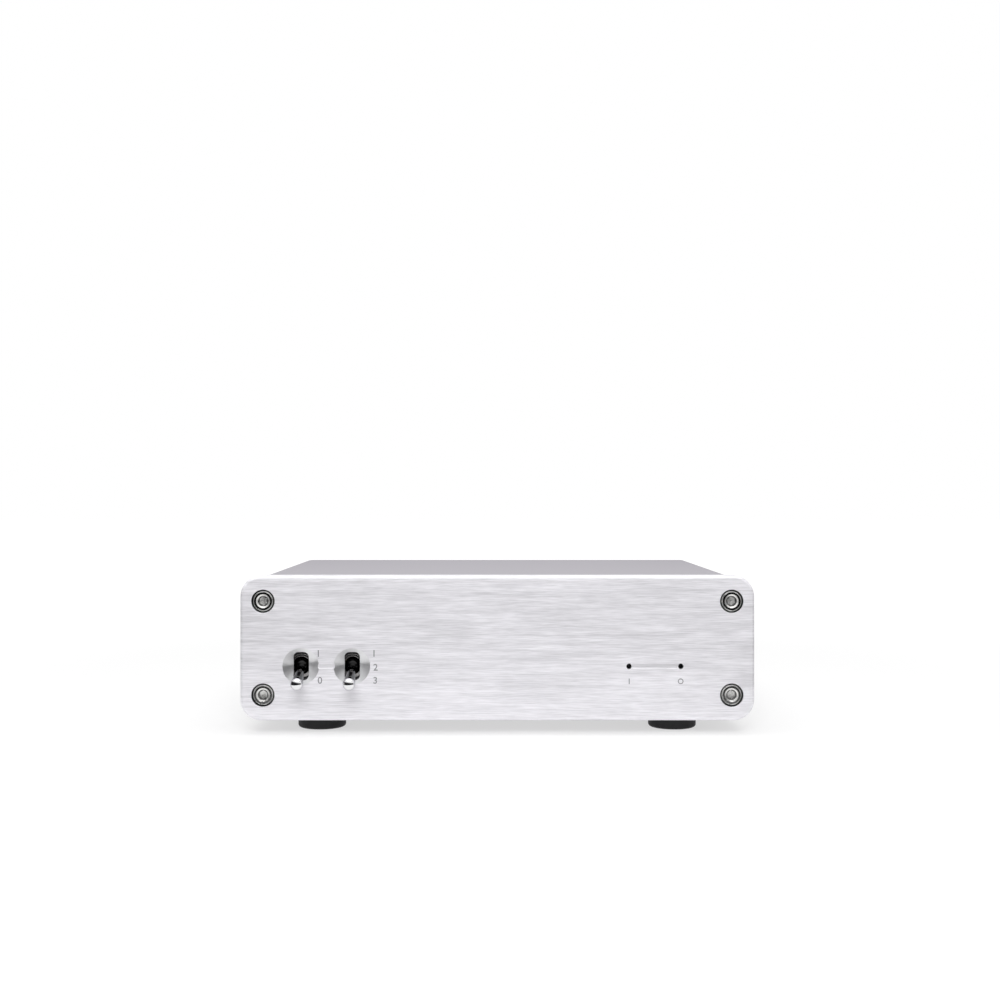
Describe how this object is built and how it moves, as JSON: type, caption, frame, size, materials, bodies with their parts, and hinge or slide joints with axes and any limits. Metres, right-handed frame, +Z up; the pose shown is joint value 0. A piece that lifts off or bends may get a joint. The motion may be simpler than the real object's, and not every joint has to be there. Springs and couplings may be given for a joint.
{
  "type": "desktop dac",
  "caption": "Low rectangular desktop audio converter with a brushed front plate, lever switches, pilot lights, rear sockets and rubber feet.",
  "frame": {"origin": "bottom centre of the bounding box, on the surface that the feet stand on", "axes": "+X to the right of someone facing the front plate, +Y from the front plate to the rear, +Z up"},
  "size_m": [0.148, 0.1306, 0.0459],
  "materials": {
    "front_plate": "brushed",
    "case_aluminium": "satin",
    "screw_steel": "satin",
    "foot_rubber": "matte",
    "foam_adhesive": "matte",
    "board_laminate": "satin",
    "lever_chrome": "polished",
    "switch_nickel": "satin",
    "plunger_nylon": "satin",
    "switch_plastic": "matte",
    "switch_contacts": "satin",
    "light_lens": "gloss",
    "light_holder_plastic": "matte",
    "tinned_leads": "satin",
    "socket_plastic": "satin",
    "gold_plate": "polished",
    "red_plastic": "gloss",
    "white_plastic": "gloss",
    "orange_plastic": "gloss",
    "shutter_plastic": "matte",
    "receiver_resin": "gloss",
    "socket_steel": "satin",
    "chip_epoxy": "matte",
    "crystal_can": "satin",
    "capacitor_sleeve": "gloss",
    "film_dip": "gloss",
    "relay_case": "satin",
    "ferrite": "matte"
  },
  "bodies": {
    "case": {"front_panel": "front_plate", "case_tube": "case_aluminium", "rear_panel": "case_aluminium", "front_screws": "screw_steel", "rear_screws": "screw_steel", "foot_front_left": "foot_rubber", "foot_front_right": "foot_rubber", "foot_rear_left": "foot_rubber", "foot_rear_right": "foot_rubber", "foot_adhesives": "foam_adhesive", "circuit_board": "board_laminate", "power_switch_bushing": "switch_nickel", "input_switch_bushing": "switch_nickel", "power_switch_frame": "switch_nickel", "input_switch_frame": "switch_nickel", "power_switch_body": "switch_plastic", "input_switch_body": "switch_plastic", "power_switch_terminals": "switch_contacts", "input_switch_terminals": "switch_contacts", "power_light": "light_lens", "lock_light": "light_lens", "light_holders": "light_holder_plastic", "light_leads": "tinned_leads", "right_jack_block": "socket_plastic", "left_jack_block": "socket_plastic", "coax_jack_block": "socket_plastic", "optical_housing": "socket_plastic", "dc_housing": "socket_plastic", "right_jack_barrel": "gold_plate", "left_jack_barrel": "gold_plate", "coax_jack_barrel": "gold_plate", "right_jack_pin_socket": "gold_plate", "left_jack_pin_socket": "gold_plate", "coax_jack_pin_socket": "gold_plate", "usb_contacts": "gold_plate", "right_jack_core": "red_plastic", "left_jack_core": "white_plastic", "usb_insert": "white_plastic", "coax_jack_core": "orange_plastic", "optical_receiver": "receiver_resin", "usb_shell": "socket_steel", "dc_pin": "socket_steel", "dc_spring_contact": "socket_steel", "chips": "chip_epoxy", "op_amps": "chip_epoxy", "regulators": "chip_epoxy", "oscillators": "crystal_can", "reservoir_capacitors": "capacitor_sleeve", "filter_capacitors": "capacitor_sleeve", "film_capacitors": "film_dip", "mute_relay": "relay_case", "inductors": "ferrite"},
    "power_lever": {"power_switch_lever": "lever_chrome", "power_switch_plunger": "plunger_nylon"},
    "power_blade": {"power_switch_contact_blade": "switch_contacts"},
    "input_lever": {"input_switch_lever": "lever_chrome", "input_switch_plunger": "plunger_nylon"},
    "input_blade": {"input_switch_contact_blade": "switch_contacts"},
    "shutter": {"optical_shutter": "shutter_plastic"}
  },
  "joints": [
    {"name": "power_lever_tilt", "type": "hinge", "parent": "case", "child": "power_lever", "pos_m": [-0.0565, -0.05227, 0.01985], "axis": [-1, 0, 0], "range_deg": [0, 39]},
    {"name": "power_blade_rock", "type": "hinge", "parent": "case", "child": "power_blade", "pos_m": [-0.0565, -0.04127, 0.01985], "axis": [1, 0, 0], "range_deg": [0, 23.4]},
    {"name": "input_lever_tilt", "type": "hinge", "parent": "case", "child": "input_lever", "pos_m": [-0.0418, -0.05227, 0.01985], "axis": [-1, 0, 0], "range_deg": [0, 39]},
    {"name": "input_blade_rock", "type": "hinge", "parent": "case", "child": "input_blade", "pos_m": [-0.0418, -0.04127, 0.01985], "axis": [1, 0, 0], "range_deg": [0, 23.4]},
    {"name": "optical_shutter_swing", "type": "hinge", "parent": "case", "child": "shutter", "pos_m": [-0.01106, 0.05493, 0.024], "axis": [-1, 0, 0], "range_deg": [0, 88], "stiffness_Nm_per_rad": 0.0002, "springref_deg": -8.59}
  ],
  "couplings": [
    {"joint": "power_blade_rock", "follows": "power_lever_tilt", "ratio": 0.6},
    {"joint": "input_blade_rock", "follows": "input_lever_tilt", "ratio": 0.6}
  ]
}
